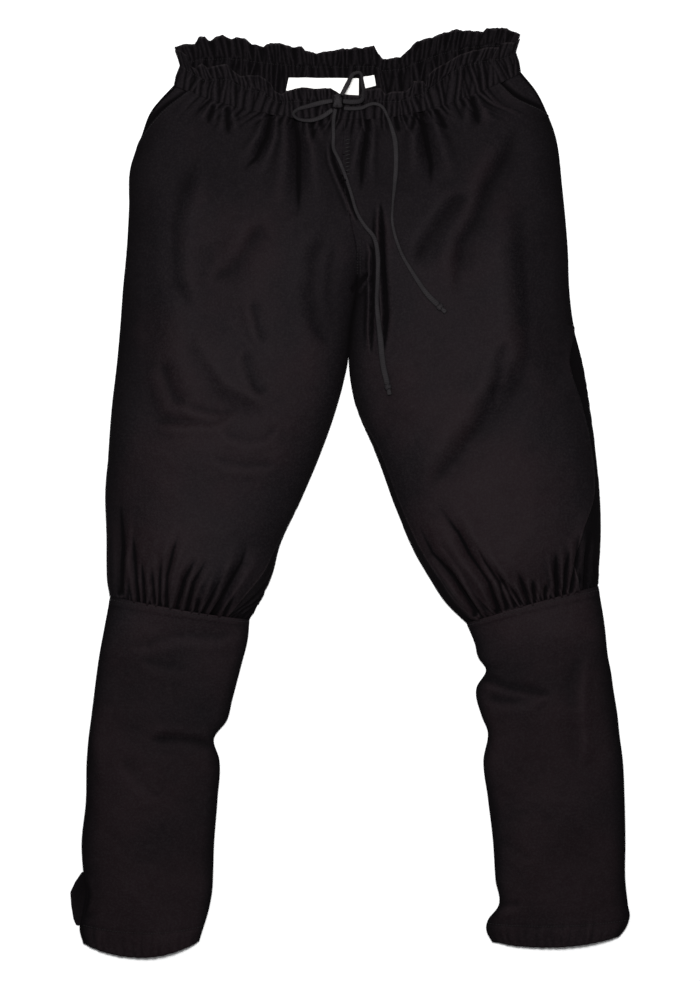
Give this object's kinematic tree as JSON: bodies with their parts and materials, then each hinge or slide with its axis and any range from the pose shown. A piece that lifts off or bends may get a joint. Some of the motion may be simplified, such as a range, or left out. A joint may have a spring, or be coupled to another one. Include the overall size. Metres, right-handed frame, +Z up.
{
  "type": "viking trousers",
  "caption": "Baggy black cotton costume trousers laid flat, gathered at waist and knee, with narrow calves and a drawstring bow.",
  "frame": {"origin": "on the surface that the trousers lie on, under the middle of their outline", "axes": "+Y along the legs towards the waist, +X towards the wearer's left, +Z up out of the front of the cloth"},
  "size_m": [0.6484, 1.077, 0.0373],
  "materials": {
    "black_cotton": "matte woven cotton",
    "black_tape": "matte woven cotton tape",
    "white_label": "smooth woven label, bare"
  },
  "bodies": {
    "root": {"thigh_front_right": "black_cotton", "thigh_front_left": "black_cotton", "thigh_back_right": "black_cotton", "thigh_back_left": "black_cotton", "pocket_facing_right": "black_cotton", "pocket_facing_left": "black_cotton", "calf_front_right": "black_cotton", "calf_front_left": "black_cotton", "calf_back_right": "black_cotton", "calf_back_left": "black_cotton", "vent_facing_right": "black_cotton", "waistband_front": "black_cotton", "waistband_back": "black_cotton", "waist_label": "white_label", "size_tab": "white_label", "drawstring_knot": "black_tape", "drawstring_loop_right": "black_tape", "drawstring_loop_left": "black_tape", "drawstring_end_long": "black_tape", "drawstring_tip_long": "black_tape", "drawstring_end_short": "black_tape", "drawstring_tip_short": "black_tape"}
  },
  "joints": []
}
